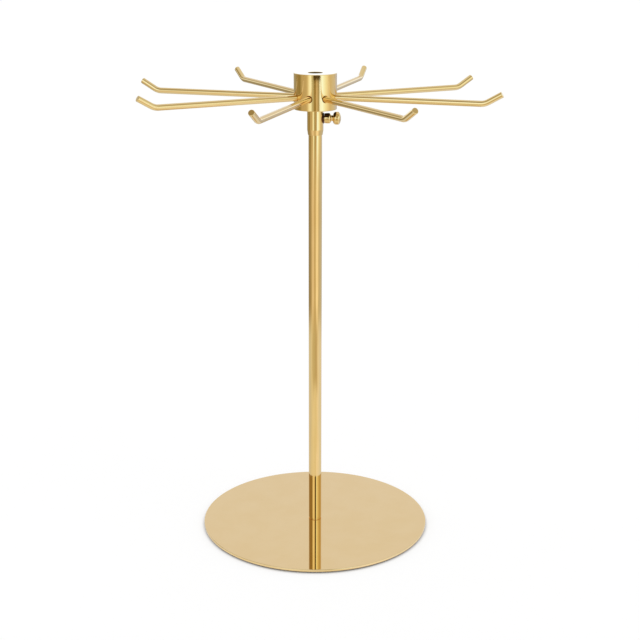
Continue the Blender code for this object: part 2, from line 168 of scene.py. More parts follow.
def helix(thread, z, angle):
    """How deep a screw thread is cut at this height and angle."""
    low, high, pitch, depth = thread
    if not low < z < high:
        return 0.0
    phase = ((z - low) / pitch - angle / (2 * pi)) % 1.0
    fade = min(1.0, (z - low) / pitch, (high - z) / pitch)
    return depth * fade * (1 - abs(2 * phase - 1))


def link(name, mesh, smooth=35):
    """Puts a mesh in the scene, smooth except at edges sharper than the angle."""
    piece = bpy.data.objects.new(name, mesh)
    bpy.context.scene.collection.objects.link(piece)
    outward(mesh)
    mesh.shade_smooth()
    mesh.set_sharp_from_angle(angle=radians(smooth))
    return piece


def outward(mesh):
    """Turns all faces outward."""
    shape = bmesh.new()
    shape.from_mesh(mesh)
    bmesh.ops.recalc_face_normals(shape, faces=shape.faces)
    shape.to_mesh(mesh)
    shape.free()


def cut(piece, *cutters, smooth=35):
    """Takes the cutters out of a piece, then removes them."""
    for cutter in cutters:
        boolean = piece.modifiers.new("cut", "BOOLEAN")
        boolean.operation = "DIFFERENCE"
        boolean.solver = "EXACT"
        boolean.object = cutter
    graph = bpy.context.evaluated_depsgraph_get()
    mesh = bpy.data.meshes.new_from_object(piece.evaluated_get(graph))
    old = piece.data
    piece.modifiers.clear()
    piece.data = mesh
    bpy.data.meshes.remove(old)
    for cutter in cutters:
        bpy.data.objects.remove(cutter)
    mesh.name = piece.name
    mesh.shade_smooth()
    mesh.set_sharp_from_angle(angle=radians(smooth))


def prism(name, across_flats, low, high, sides=6):
    """A cutter with flat sides, such as a hexagon socket, with a cone at its lower end."""
    radius = across_flats / (2 * cos(pi / sides))
    cone = min(across_flats * 0.25, (high - low) / 2)
    return lathe(name, [(0, low - cone * 0.4), (radius, low), (radius, high), (0, high)],
                 sides, closed=False)


def lay_along_x(piece):
    """Turns a piece that was made about Z so that its axis is the thumb screw's."""
    piece.rotation_euler.y = pi / 2
    piece.location.z = CLAMP_HEIGHT
    return piece


def finish(piece, material, body, slot, *nodes):
    """Gives a piece its material, its body and the CAD nodes that it stands for."""
    piece.data.materials.clear()
    piece.data.materials.append(material)
    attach(piece, body)
    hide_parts(*nodes)
    return piece


# ---------------------------------------------------------------- materials


class Tree:
    """A short way to write node trees."""

    def __init__(self, name):
        self.material = bpy.data.materials.new(name)
        self.material.use_nodes = True
        self.nodes = self.material.node_tree.nodes
        self.shader = self.nodes["Principled BSDF"]
        self.space = self.node("ShaderNodeTexCoord").outputs["Object"]

    def node(self, kind, **settings):
        made = self.nodes.new(kind)
        for key, value in settings.items():
            setattr(made, key, value)
        return made

    def join(self, source, target):
        self.material.node_tree.links.new(source, target)

    def mapped(self, scale):
        mapping = self.node("ShaderNodeMapping")
        mapping.inputs["Scale"].default_value = scale
        self.join(self.space, mapping.inputs["Vector"])
        return mapping.outputs["Vector"]

    def noise(self, scale, detail=2.0, rough=0.5, vector=None):
        made = self.node("ShaderNodeTexNoise")
        made.inputs["Scale"].default_value = scale if vector is None else 1.0
        made.inputs["Detail"].default_value = detail
        made.inputs["Roughness"].default_value = rough
        self.join(vector or self.space, made.inputs["Vector"])
        return made.outputs["Fac"]

    def remap(self, value, low, high, to_low, to_high):
        made = self.node("ShaderNodeMapRange", interpolation_type="SMOOTHSTEP")
        for key, number in zip(("From Min", "From Max", "To Min", "To Max"),
                               (low, high, to_low, to_high)):
            made.inputs[key].default_value = number
        self.join(value, made.inputs["Value"])
        return made.outputs["Result"]

    def math(self, operation, first, second):
        made = self.node("ShaderNodeMath", operation=operation)
        for socket, value in zip(made.inputs, (first, second)):
            if isinstance(value, (int, float)):
                socket.default_value = value
            else:
                self.join(value, socket)
        return made.outputs["Value"]

    def mix(self, factor, first, second):
        made = self.node("ShaderNodeMix", data_type="RGBA")
        self.join(factor, made.inputs["Factor"])
        made.inputs["A"].default_value = (*first, 1.0)
        made.inputs["B"].default_value = (*second, 1.0)
        return made.outputs["Result"]

    def bump(self, height, distance, strength=1.0, normal=None):
        made = self.node("ShaderNodeBump")
        made.inputs["Strength"].default_value = strength
        made.inputs["Distance"].default_value = distance
        self.join(height, made.inputs["Height"])
        if normal:
            self.join(normal, made.inputs["Normal"])
        return made.outputs["Normal"]

    def into(self, **sockets):
        names = {"colour": "Base Color", "rough": "Roughness", "normal": "Normal",
                 "metallic": "Metallic", "ior": "IOR", "specular": "Specular IOR Level"}
        for key, value in sockets.items():
            socket = self.shader.inputs[names[key]]
            if isinstance(value, (int, float)):
                socket.default_value = value
            else:
                self.join(value, socket)
        return self.material


def mirror_gold(name, colour, lines, depth=1.0):
    """Polished and plated: fine buffing lines along the piece, faint smudges, a little waviness.

    lines is the lines' frequency per metre along X, Y and Z.
    """
    tree = Tree(name)
    tone = tree.noise(38.0, 3.0, 0.55)
    deeper = (colour[0] * 0.985, colour[1] * 0.97, colour[2] * 0.93)
    paint = tree.mix(tree.remap(tone, 0.3, 0.72, 0.0, 1.0), colour, deeper)
    buffing = tree.noise(1.0, 3.0, 0.6, tree.mapped(lines))
    smudges = tree.remap(tree.noise(95.0, 5.0, 0.62), 0.48, 0.74, 0.0, 0.045 * depth)
    streaks = tree.remap(buffing, 0.35, 0.75, 0.02, 0.055)
    rough = tree.math("ADD", smudges, streaks)
    waves = tree.bump(tree.noise(42.0, 1.5, 0.4), 0.00005 * depth)
    fine = tree.bump(buffing, 0.0000012 * depth, normal=waves)
    return tree.into(colour=paint, rough=rough, normal=fine, metallic=1.0)


def machined(name, colour, lines, rough, spread=0.1):
    """Turned or ground steel with its tool marks."""
    tree = Tree(name)
    marks = tree.noise(1.0, 4.0, 0.65, tree.mapped(lines))
    cloud = tree.noise(260.0, 4.0, 0.6)
    lighter = tuple(min(1.0, c * 1.12) for c in colour)
    darker = tuple(c * 0.74 for c in colour)
    paint = tree.mix(tree.remap(cloud, 0.3, 0.72, 0.0, 1.0), lighter, darker)
    shine = tree.math("ADD", tree.remap(marks, 0.3, 0.7, rough - spread / 2, rough + spread / 2),
                      tree.remap(cloud, 0.55, 0.8, 0.0, 0.06))
    normal = tree.bump(marks, 0.000012)
    return tree.into(colour=paint, rough=shine, normal=normal, metallic=1.0)


def oxide_black(name, dark=(0.018, 0.013, 0.010), rubbed=(0.062, 0.046, 0.034)):
    """Chemically blacked steel: brown-black, with a thin oily sheen and rubbed spots."""
    tree = Tree(name)
    cloud = tree.noise(420.0, 5.0, 0.65)
    paint = tree.mix(tree.remap(cloud, 0.42, 0.72, 0.0, 1.0), dark, rubbed)
    shine = tree.remap(tree.noise(900.0, 3.0, 0.6), 0.3, 0.75, 0.26, 0.5)
    normal = tree.bump(tree.noise(2600.0, 4.0, 0.6), 0.000014)
    return tree.into(colour=paint, rough=shine, normal=normal, metallic=0.75)


def moulded_nylon(name):
    """Pale plastic with a little light under its skin and a fine moulded grain."""
    tree = Tree(name)
    cloud = tree.noise(300.0, 4.0, 0.6)
    paint = tree.mix(cloud, (0.86, 0.84, 0.77), (0.78, 0.755, 0.68))
    shine = tree.remap(tree.noise(700.0, 3.0, 0.6), 0.3, 0.7, 0.36, 0.52)
    normal = tree.bump(tree.noise(1500.0, 4.0, 0.6), 0.00002)
    tree.shader.inputs["Subsurface Weight"].default_value = 0.25
    tree.shader.inputs["Subsurface Radius"].default_value = (0.0012, 0.0010, 0.0008)
    tree.shader.inputs["Subsurface Scale"].default_value = 1.0
    return tree.into(colour=paint, rough=shine, normal=normal, metallic=0.0)


def foam_rubber(name):
    """Closed-cell foam: fine dark cells that break the surface."""
    tree = Tree(name)
    cells = tree.node("ShaderNodeTexVoronoi", feature="F1")
    cells.inputs["Scale"].default_value = 2600.0
    tree.join(tree.space, cells.inputs["Vector"])
    distance = cells.outputs["Distance"]
    paint = tree.mix(tree.remap(distance, 0.1, 0.6, 0.0, 1.0), (0.014, 0.014, 0.015),
                     (0.046, 0.046, 0.049))
    shine = tree.remap(tree.noise(800.0, 4.0, 0.6), 0.3, 0.7, 0.78, 0.95)
    normal = tree.bump(distance, 0.00012)
    return tree.into(colour=paint, rough=shine, normal=normal, metallic=0.0)


GOLD = (0.806, 0.562, 0.233)
ALONG_Z = (4200.0, 4200.0, 26.0)    # lines that run up the piece
ROUND_Z = (34.0, 34.0, 5200.0)      # lines that run round it
ALONG_X = (26.0, 4200.0, 4200.0)

turned_gold = mirror_gold("gold_turned", GOLD, ROUND_Z)
drawn_gold = mirror_gold("gold_tube", GOLD, ALONG_Z)
rod_gold = mirror_gold("gold_rod", (0.812, 0.585, 0.262), ALONG_X)
plate_gold = mirror_gold("gold_plate", (0.824, 0.608, 0.316), (24.0, 2600.0, 2600.0), 0.12)
knob_gold = mirror_gold("gold_knob", GOLD, ROUND_Z)
# The hub's hollows: as-turned unpolished metal, made near-black brown as painted shade.
unpolished_gold_painted_shade = machined("gold_unpolished_painted_shade", (0.075, 0.040, 0.012), (90.0, 90.0, 4200.0), 0.5, 0.16)
zinc = machined("zinc_plated", (0.55, 0.56, 0.585), (60.0, 60.0, 6500.0), 0.32)
ring_steel = machined("ground_steel", (0.62, 0.62, 0.63), (50.0, 50.0, 9000.0), 0.2)
black_steel = oxide_black("black_oxide")
brown_steel = oxide_black("browned_oxide", (0.075, 0.022, 0.004), (0.150, 0.055, 0.016))
nylon = moulded_nylon("natural_nylon")
foam = foam_rubber("black_foam")

# ---------------------------------------------------------------- the base


def base_plate():
    edge = 0.6 * MM
    hole = 2.5 * MM
    rim = PLATE_TOP - 0.25 * MM
    sink = rim - PLATE_BOTTOM
    outline = rounded([
        (PLATE_RADIUS, PLATE_TOP, edge), (PLATE_RADIUS, PLATE_BOTTOM, edge),
        (hole + sink, PLATE_BOTTOM, 0.1 * MM), (hole, rim, 0.1 * MM), (hole, PLATE_TOP),
    ], steps=7)
    plate = lathe("base_plate_polished", outline, 320)
    finish(plate, plate_gold, "stand", "gold_mirror", "base_plate")


def foot_pads():
    for number in range(1, 5):
        name = f"foot_pad_{number}"
        low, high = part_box(name)
        radius = (high.x - low.x) / 2
        height = high.z - low.z
        outline = rounded([
            (0, height), (radius - 0.3 * MM, height), (radius, height - 0.3 * MM, 0.2 * MM),
            (radius, 0, 0.25 * MM), (0, 0),
        ], closed=False)
        outline[0] = Vector((0, PLATE_BOTTOM))
        outline.insert(1, Vector((radius - 0.7 * MM, PLATE_BOTTOM)))
        outline.insert(2, Vector((radius - 0.7 * MM, height)))
        pad = lathe(name + "_foam", outline, 96, closed=False)
        pad.location = ((low.x + high.x) / 2, (low.y + high.y) / 2, low.z)
        finish(pad, foam, "stand", "rubber", name)


def base_screw():
    low, high = levels("base_screw")
    head = reach("base_screw")
    core = 2.2 * MM
    seat = low + head - core
    outline = even(rounded([
        (0, high), (core - 0.5 * MM, high), (core, high - 0.6 * MM), (core, seat),
        (head, low + 0.12 * MM), (head - 0.1 * MM, low), (0, low),
    ], closed=False), 0.16 * MM)
    thread = (seat + 0.5 * MM, high, 0.8 * MM, 0.35 * MM)
    screw = lathe("base_screw_turned", outline, 64, False, thread)
    cut(screw, prism("socket", 3 * MM, low - 2 * MM, low + 1.6 * MM))
    finish(screw, zinc, "stand", "plain_steel", "base_screw")


def foot_plug():
    low, high = levels("foot_plug")
    outline = rounded([
        (reach("foot_plug"), high, 0.4 * MM), (reach("foot_plug"), low, 0.4 * MM),
        (2.5 * MM, low, 0.2 * MM), (2.5 * MM, high, 0.2 * MM),
    ])
    finish(lathe("foot_plug_turned", outline, 96), zinc, "stand", "plain_steel", "foot_plug")


# ---------------------------------------------------------------- post and clamp


def post_tube():
    """The post, with a shallow turned step at its foot that reads as the joint's dark line."""
    wall = 1.0 * MM
    step = 0.6 * MM
    outline = rounded([
        (POST_RADIUS, POST_TOP, 0.2 * MM), (POST_RADIUS, PLATE_TOP + 1.1 * MM, 0.15 * MM),
        (POST_RADIUS - step, PLATE_TOP + 0.95 * MM), (POST_RADIUS - step, PLATE_TOP),
        (POST_RADIUS - wall, PLATE_TOP, 0.1 * MM), (POST_RADIUS - wall, POST_TOP, 0.2 * MM),
    ])
    finish(lathe("post_tube_polished", outline, 192), drawn_gold, "stand", "gold_mirror", "post_tube")


def clamp_collar():
    guide = MAST_RADIUS + GAP
    socket = POST_RADIUS + 0.04 * MM
    taper = 4.9 * MM
    outline = rounded([
        (COLLAR_RADIUS, COLLAR_TOP, 0.4 * MM), (COLLAR_RADIUS, COLLAR_BOTTOM + taper, 1.2 * MM),
        (POST_RADIUS + 0.5 * MM, COLLAR_BOTTOM, 0.18 * MM), (socket, COLLAR_BOTTOM, 0.05 * MM),
        (socket, POST_TOP + GAP), (guide, POST_TOP + GAP, 0.1 * MM), (guide, COLLAR_TOP, 0.3 * MM),
    ])
    collar = lathe("clamp_collar_polished", outline, 192)
    hole = lay_along_x(lathe("side hole", [(0, 0), (3.6 * MM, 0), (3.6 * MM, 9 * MM),
                                           (0, 9 * MM)], 64, closed=False))
    cut(collar, hole)
    finish(collar, turned_gold, "stand", "gold_mirror", "clamp_collar")


def thread_insert():
    """A flanged insert whose flange is shaped to the round collar."""
    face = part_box("thread_insert")[1].x
    flange = 4.9 * MM
    bore = 2.5 * MM
    outline = rounded([
        (flange, face, 0.2 * MM), (flange, face - 1.6 * MM), (3.5 * MM, face - 1.6 * MM),
        (3.5 * MM, 5.6 * MM, 0.2 * MM), (bore, 5.6 * MM, 0.1 * MM), (bore, face, 0.3 * MM),
    ])
    insert = lathe("thread_insert_turned", outline, 96)
    for vertex in insert.data.vertices:
        co = vertex.co
        if abs(co.z - (face - 1.6 * MM)) < 0.01 * MM:
            co.z = sqrt(COLLAR_RADIUS ** 2 - co.y ** 2) - 0.05 * MM
    finish(lay_along_x(insert), brown_steel, "stand", "black_oxide", "thread_insert")


def clamp_pad():
    low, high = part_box("clamp_pad")
    radius = (high.z - low.z) / 2
    outline = rounded([
        (0, high.x), (radius, high.x, 0.15 * MM), (radius, low.x, 0.25 * MM), (0, low.x),
    ], closed=False)
    pad = lay_along_x(lathe("clamp_pad_nylon", outline, 64, closed=False))
    finish(pad, nylon, "clamp_shoe", "nylon", "clamp_pad")


def thumb_screw():
    """The knob: a barrel, a neck and a domed button, on a threaded shank."""
    low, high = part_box("thumb_screw")
    end, tip = high.x, low.x
    lip_radius = (high.z - low.z) / 2
    lip, dome, back, shoulder = 2.15 * MM, 11.0 * MM, 3.0 * MM, 1.9 * MM
    neck, bead, core = 2.7 * MM, 4.85 * MM, 2.38 * MM
    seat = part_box("thread_insert")[1].x + 0.15 * MM
    outline = arc(0, end - dome, dome, 90, 68, 14)
    outline += arc(lip_radius - lip, end - 3.1 * MM, lip, 60, 0, 14)
    outline += arc(lip_radius - back, end - 4.4 * MM, back, 0, -82, 24)
    outline += curve_points([
        (3.05 * MM, end - 7.5 * MM), (neck + 0.05 * MM, end - 7.9 * MM), (neck, end - 8.3 * MM),
        (neck + 0.1 * MM, end - 8.8 * MM), (3.05 * MM, end - 9.3 * MM),
    ], 4)
    outline += arc(bead - shoulder, end - 11.3 * MM, shoulder, 80, 4, 12)
    outline += curve_points([
        (bead, end - 11.8 * MM), (bead - 0.02 * MM, end - 13.0 * MM),
        (bead - 0.14 * MM, end - 14.2 * MM), (bead - 0.3 * MM, seat + 0.5 * MM),
    ], 4)
    outline += [tuple(p) for p in rounded([
        (bead - 0.3 * MM, seat + 0.5 * MM), (bead - 0.4 * MM, seat, 0.3 * MM), (core, seat),
    ], closed=False)[1:]]
    shank = even([(core, seat), (core, tip + 0.5 * MM), (core - 0.5 * MM, tip), (0, tip)], 0.1 * MM)
    outline += [tuple(point) for point in shank[1:]]
    outline[0] = (0, end)
    knob = lathe("thumb_screw_turned", outline, 160, False,
                 (tip + 0.1 * MM, seat - 0.15 * MM, 0.8 * MM, 0.36 * MM))
    finish(lay_along_x(knob), knob_gold, "knob", "gold_mirror", "thumb_screw")


def curve_points(points, between):
    """A smooth line through the points, with extra points between them."""
    line = []
    for index in range(len(points) - 1):
        a, b, c, d = (Vector(points[min(max(i, 0), len(points) - 1)])
                      for i in range(index - 1, index + 3))
        for step in range(between):
            t = step / between
            line.append(tuple(
                0.5 * (2 * b + (c - a) * t + (2 * a - 5 * b + 4 * c - d) * t * t
                       + (3 * b - a - 3 * c + d) * t ** 3)))
    return line + [points[-1]]


# ---------------------------------------------------------------- the mast


def inner_tube():
    low, high = levels("inner_tube")
    wall = 1.0 * MM
    outline = rounded([
        (MAST_RADIUS, high, 0.15 * MM), (MAST_RADIUS, low, 0.15 * MM),
        (MAST_RADIUS - wall, low, 0.15 * MM), (MAST_RADIUS - wall, high, 0.15 * MM),
    ])
    finish(lathe("inner_tube_polished", outline, 160), drawn_gold, "mast", "gold_mirror", "inner_tube")


def guide_plug():
    low, high = levels("guide_plug")
    runner = reach("guide_plug")
    mast_bottom = levels("inner_tube")[0]
    spigot = MAST_RADIUS - 1.05 * MM
    air = 1.2 * MM
    outline = rounded([
        (spigot, high, 0.3 * MM), (spigot, mast_bottom - 0.02 * MM),
        (runner, mast_bottom - 0.02 * MM, 0.25 * MM),
        (runner, low, 0.5 * MM), (air, low, 0.2 * MM), (air, high, 0.2 * MM),
    ])
    finish(lathe("guide_plug_moulded", outline, 96), nylon, "mast", "nylon", "guide_plug")


def spindle():
    low, high = levels("spindle")
    journal = 3.95 * MM
    spigot = MAST_RADIUS - 1.05 * MM
    flange_top = levels("lower_inner_ring")[0] - GAP
    flange_bottom = levels("inner_tube")[1] + 0.02 * MM
    bore = 2.45 * MM
    floor = high - 16 * MM
    outline = rounded([
        (0, floor), (bore, floor), (bore, high, 0.2 * MM), (journal, high, 0.35 * MM),
        (journal, flange_top + 0.02 * MM, 0.05 * MM), (MAST_RADIUS, flange_top, 0.2 * MM),
        (MAST_RADIUS, flange_bottom, 0.2 * MM), (spigot, flange_bottom),
        (spigot, low, 0.4 * MM), (0, low),
    ], closed=False)
    turned = lathe("spindle_ground", outline, 96, closed=False)
    finish(turned, ring_steel, "mast", "bearing_steel", "spindle")


def hub_washer():
    low, high = levels("hub_washer")
    outline = rounded([
        (5 * MM, high, 0.15 * MM), (5 * MM, low, 0.3 * MM), (2.6 * MM, low, 0.1 * MM),
        (2.6 * MM, high, 0.1 * MM),
    ])
    finish(lathe("hub_washer_pressed", outline, 96), zinc, "mast", "plain_steel", "hub_washer")


def hub_screw():
    low, high = levels("hub_screw")
    head = reach("hub_screw")
    core = 2.38 * MM
    seat = levels("hub_washer")[1] + 0.02 * MM
    outline = rounded([
        (0, high), (head, high, 0.45 * MM), (head, seat, 0.15 * MM), (core, seat, 0.1 * MM),
    ], closed=False)
    shank = even([
        (core, seat - 0.2 * MM), (core, low + 0.5 * MM), (core - 0.5 * MM, low), (0, low),
    ], 0.12 * MM)
    outline = outline[:-1] + shank
    thread = (low + 0.1 * MM, seat - 1.0 * MM, 0.8 * MM, 0.36 * MM)
    screw = lathe("hub_screw_turned", outline, 96, False, thread)
    cut(screw, prism("socket", 4 * MM, high - 2.5 * MM, high + 2 * MM))
    finish(screw, black_steel, "mast", "black_oxide", "hub_screw")


# ---------------------------------------------------------------- bearings

BALL_RADIUS = 1.05 * MM
BALL_CIRCLE = 6.0 * MM
RACE = BALL_RADIUS + 0.06 * MM


def bearing(side):
    low, high = levels(f"{side}_inner_ring")
    middle = (low + high) / 2
    lean = asin(1.0 * MM / RACE)
    rise = RACE * cos(lean)
    degrees_in = 90 - lean * 180 / pi
    inner = rounded([(5 * MM, high, 0.12 * MM), (4.02 * MM, high, 0.3 * MM), (4.02 * MM, low, 0.3 * MM),
                     (5 * MM, low, 0.12 * MM), (5 * MM, middle - rise)])
    inner += arc(BALL_CIRCLE, middle, RACE, 180 + degrees_in, 180 - degrees_in, 16)[1:]
    ring = lathe(f"{side}_inner_ring_ground", inner, 128)
    finish(ring, ring_steel, "mast", "bearing_steel", f"{side}_inner_ring")
    outer = rounded([(8 * MM, high, 0.35 * MM), (8 * MM, low, 0.35 * MM), (7 * MM, low, 0.12 * MM),
                     (7 * MM, middle - rise)])
    outer += arc(BALL_CIRCLE, middle, RACE, -degrees_in, degrees_in, 16)[1:]
    outer += rounded([
        (7 * MM, middle + rise), (7 * MM, high, 0.12 * MM), (8 * MM, high),
    ], closed=False)[1:-1]
    ring = lathe(f"{side}_outer_ring_ground", outer, 128)
    finish(ring, ring_steel, "head", "bearing_steel", f"{side}_outer_ring")
    ball_cage(side, middle)


def ball_cage(side, middle):
    """Nine balls in a pressed ribbon cage that swells round each of them."""
    count = 9
    shape = bmesh.new()
    for index in range(count):
        angle = 2 * pi * index / count
        centre = Matrix.Translation((BALL_CIRCLE * cos(angle), BALL_CIRCLE * sin(angle), middle))
        bmesh.ops.create_uvsphere(shape, u_segments=32, v_segments=20, radius=BALL_RADIUS,
                                  matrix=centre)
    steps = count * 24
    half = 0.32 * MM
    for side_up in (1, -1):
        rows = []
        for step in range(steps):
            angle = 2 * pi * step / steps
            swell = max(0.0, cos(angle * count)) ** 1.5 * 0.95 * MM
            height = middle + side_up * (0.10 * MM + swell)
            row = [shape.verts.new((r * cos(angle), r * sin(angle), height + up)) for r, up in (
                (BALL_CIRCLE - half, 0), (BALL_CIRCLE + half, 0),
                (BALL_CIRCLE + half, side_up * 0.15 * MM), (BALL_CIRCLE - half, side_up * 0.15 * MM))]
            rows.append(row)
        for row, after in zip(rows, rows[1:] + rows[:1]):
            for corner in range(4):
                beside = (corner + 1) % 4
                shape.faces.new((row[corner], row[beside], after[beside], after[corner]))
    mesh = bpy.data.meshes.new(f"{side}_ball_cage_pressed")
    shape.to_mesh(mesh)
    shape.free()
    cage = link(mesh.name, mesh)
    finish(cage, ring_steel, f"{side}_cage", "bearing_steel", f"{side}_ball_cage")


def spacers():
    """The two sleeves between the bearings, with their radii in millimetres."""
    sizes = (("inner_spacer", "mast", 5.0, 4.02), ("outer_spacer", "head", 8.0, 7.3))
    for name, body, outer, inner in sizes:
        low, high = levels(name)
        outline = rounded([
            (outer * MM, high, 0.15 * MM), (outer * MM, low, 0.15 * MM),
            (inner * MM, low, 0.15 * MM), (inner * MM, high, 0.15 * MM),
        ])
        finish(lathe(name + "_turned", outline, 96), zinc, body, "plain_steel", name)


def retaining_ring():
    """A snap ring with rounded ends at its opening."""
    low, high = levels("retaining_ring")
    inner, outer = 7.4 * MM, 8.8 * MM
    gap_half = 0.36
    section = rounded([(outer, high, 0.15 * MM), (outer, low, 0.15 * MM),
                       (inner, low, 0.15 * MM), (inner, high, 0.15 * MM)], steps=3)
    shape = bmesh.new()
    rows = []
    steps = 120
    for step in range(steps + 1):
        angle = -pi / 2 + gap_half + (2 * pi - 2 * gap_half) * step / steps
        rows.append([shape.verts.new((r * cos(angle), r * sin(angle), z)) for r, z in section])
    for row, after in zip(rows, rows[1:]):
        for corner in range(len(section)):
            beside = (corner + 1) % len(section)
            shape.faces.new((row[corner], row[beside], after[beside], after[corner]))
    shape.faces.new(rows[0])
    shape.faces.new(rows[-1])
    mesh = bpy.data.meshes.new("retaining_ring_sprung")
    shape.to_mesh(mesh)
    shape.free()
    finish(link(mesh.name, mesh), black_steel, "head", "black_oxide", "retaining_ring")


# ---------------------------------------------------------------- the head


def hub():
    bearing_low, bearing_top = levels("lower_outer_ring")[0], levels("upper_outer_ring")[1]
    ring_low, ring_top = levels("retaining_ring")
    bore = reach("lower_outer_ring") + 0.04 * MM
    snap = bore + 0.95 * MM
    top_hole = 7.0 * MM
    relief_outer, relief_inner = 18.2 * MM, 11.5 * MM
    relief_top = HUB_BOTTOM + 5.0 * MM
    shoulder = bearing_top + 0.04 * MM
    edge = 0.5 * MM
    band = 4.2 * MM
    outline = rounded([
        (HUB_RADIUS, HUB_TOP, edge), (HUB_RADIUS, HOOK_HEIGHT + band), (HUB_RADIUS, HOOK_HEIGHT - band),
        (HUB_RADIUS, HUB_BOTTOM, edge), (relief_outer, HUB_BOTTOM, 0.2 * MM),
        (relief_outer, relief_top, 0.4 * MM), (relief_inner, relief_top, 0.4 * MM),
        (relief_inner, HUB_BOTTOM, 0.2 * MM), (bore, HUB_BOTTOM, 0.3 * MM), (bore, ring_low - 0.05 * MM),
        (snap, ring_low - 0.05 * MM), (snap, ring_top + 0.05 * MM), (bore, ring_top + 0.05 * MM),
        (bore, shoulder), (top_hole, shoulder, 0.1 * MM), (top_hole, HUB_TOP, 0.35 * MM),
    ], steps=6)
    body = lathe("hub_polished", outline, 256)
    cutters = []
    for azimuth in HOOK_AZIMUTHS:
        hole = HOOK_RADIUS + 0.22 * MM
        flare = 0.35 * MM
        drill = lathe("drill", [
            (0, 9.3 * MM), (hole, 9.3 * MM), (hole, HUB_RADIUS - flare - 0.2 * MM),
            (hole + flare + 0.5 * MM, HUB_RADIUS + 0.5 * MM), (hole + flare + 0.5 * MM, HUB_RADIUS + MM),
            (0, HUB_RADIUS + MM),
        ], 72, closed=False)
        drill.rotation_euler = (0, pi / 2, azimuth)
        drill.location.z = HOOK_HEIGHT
        cutters.append(drill)
    cut(body, *cutters)
    finish(body, turned_gold, "head", "gold_mirror", "hub")
    # The underside, relief, bores and hook holes take the near-black brown. The unpolished surface is
    # real, and its darkness is painted shade in these recesses.
    body.data.materials.append(unpolished_gold_painted_shade)
    for face in body.data.polygons:
        centre = face.center
        distance = sqrt(centre.x ** 2 + centre.y ** 2)
        under = centre.z < HUB_TOP - 1.0 * MM and distance < HUB_RADIUS - 0.6 * MM
        face.material_index = 1 if under else 0


def hook(number, azimuth):
    """A bent rod, made along +X and then turned to its place round the hub."""
    tip_length = 18 * MM
    rise = radians(30)
    bend_radius = 14 * MM
    root = 9.6 * MM
    far = max(vertex.co.x * cos(azimuth) + vertex.co.y * sin(azimuth)
              for vertex in frame["nodes"][f"hook_{number}"].data.vertices)
    bend_at = far - tip_length * cos(rise) - HOOK_RADIUS * sin(rise)
    set_back = bend_radius * tan(rise / 2)
    stations = [(root, 0.0, 0.0)]
    stations += [(root + (bend_at - set_back - root) * i / 12, 0.0, 0.0) for i in range(1, 12)]
    for i in range(15):
        lean = rise * i / 14
        x = bend_at - set_back + bend_radius * sin(lean)
        stations.append((x, bend_radius * (1 - cos(lean)), lean))
    start = Vector(stations[-1][:2])
    along = Vector((cos(rise), sin(rise)))
    left = tip_length - set_back
    for part in (0.3, 0.6, 0.9):
        stations.append((*(start + along * left * part), rise))
    sides = 48
    shape = bmesh.new()
    rows = []

    def add_row(x, z, lean, radius):
        across = Vector((0, 1, 0))
        up = Vector((-sin(lean), 0, cos(lean)))
        centre = Vector((x, 0, z + HOOK_HEIGHT))
        row = []
        for s in range(sides):
            angle = 2 * pi * s / sides
            row.append(shape.verts.new(centre + radius * (across * cos(angle) + up * sin(angle))))
        rows.append(row)

    edge = 0.45 * MM
    add_row(root, 0, 0, HOOK_RADIUS - 0.3 * MM)
    add_row(root + 0.3 * MM, 0, 0, HOOK_RADIUS)
    for x, z, lean in stations[1:]:
        add_row(x, z, lean, HOOK_RADIUS)
    end = start + along * left
    corner = end - along * edge
    add_row(*(corner - along * HOLD), rise, HOOK_RADIUS)
    for i in range(7):
        turn = pi / 2 * i / 6
        add_row(*(corner + along * edge * sin(turn)), rise, HOOK_RADIUS - edge * (1 - cos(turn)))
    add_row(*end, rise, HOOK_RADIUS - edge - HOLD)
    add_row(*end, rise, HOOK_RADIUS * 0.4)
    for row, after in zip(rows, rows[1:]):
        for s in range(sides):
            t = (s + 1) % sides
            shape.faces.new((row[s], row[t], after[t], after[s]))
    shape.faces.new(rows[0])
    shape.faces.new(rows[-1])
    mesh = bpy.data.meshes.new(f"hook_{number}_polished")
    shape.to_mesh(mesh)
    shape.free()
    rod = link(mesh.name, mesh)
    rod.rotation_euler.z = azimuth
    finish(rod, rod_gold, "head", "gold_mirror", f"hook_{number}")


# ---------------------------------------------------------------- build

base_plate()
foot_pads()
base_screw()
foot_plug()
post_tube()
clamp_collar()
thread_insert()
clamp_pad()
thumb_screw()
inner_tube()
guide_plug()
spindle()
hub_washer()
hub_screw()
bearing("lower")
bearing("upper")
spacers()
retaining_ring()
hub()
for number, azimuth in enumerate(HOOK_AZIMUTHS, 1):
    hook(number, azimuth)

# ---------------------------------------------------------------- floor, light and camera


def emitter(name, strength):
    material = bpy.data.materials.new(name)
    material.use_nodes = True
    nodes = material.node_tree.nodes
    nodes.clear()
    output = nodes.new("ShaderNodeOutputMaterial")
    glow = nodes.new("ShaderNodeEmission")
    glow.inputs["Strength"].default_value = strength
    material.node_tree.links.new(glow.outputs[0], output.inputs["Surface"])
    return material, glow


